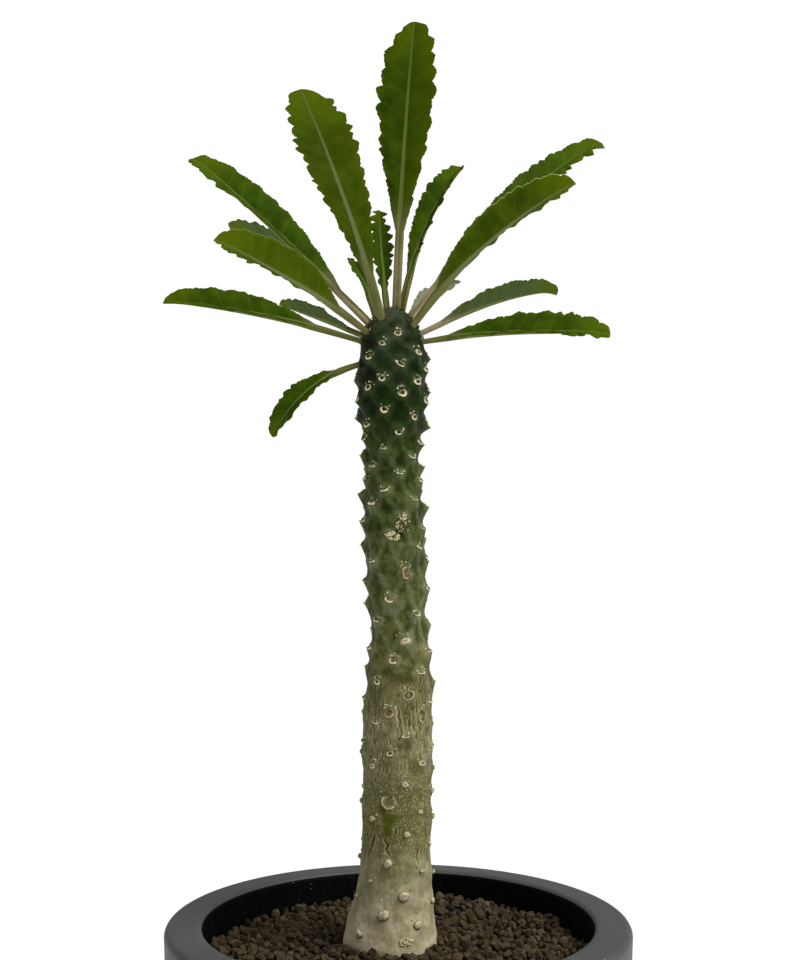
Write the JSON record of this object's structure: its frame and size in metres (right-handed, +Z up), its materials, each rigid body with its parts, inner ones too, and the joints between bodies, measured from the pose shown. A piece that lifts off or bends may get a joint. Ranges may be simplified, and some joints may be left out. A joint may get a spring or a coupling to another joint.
{
  "type": "potted dorstenia",
  "caption": "Warty green succulent stem crowned with long toothed leaves, standing in a round dark pot of granular substrate.",
  "frame": {"origin": "centre of the pot's flat underside", "axes": "+Z up along the pot's axis and the stem, +X to the right and +Y away from the viewer as the picture was taken"},
  "size_m": [0.15, 0.15, 0.3762],
  "materials": {
    "pot": "dark grey moulded plastic with a satin rim, light scuffs and a few pale specks of dust",
    "substrate": "matt dark-brown mineral grains of lava, pumice and fired clay, about two to three millimetres each",
    "stem": "waxy green skin at the crown turning grey-tan and corky at the foot, with cream leaf scars on its tubercles",
    "leaf": "satin green blade with a pale raised midrib, faint side veins and a crisped, toothed margin"
  },
  "bodies": {
    "root": {"pot": "pot", "substrate": "substrate", "stem": "stem", "leaf_01": "leaf", "leaf_02": "leaf", "leaf_03": "leaf", "leaf_04": "leaf", "leaf_05": "leaf", "leaf_06": "leaf", "leaf_07": "leaf", "leaf_08": "leaf", "leaf_09": "leaf", "leaf_10": "leaf", "leaf_11": "leaf", "leaf_12": "leaf", "leaf_13": "leaf", "leaf_14": "leaf", "leaf_15": "leaf", "leaf_16": "leaf"}
  },
  "joints": []
}
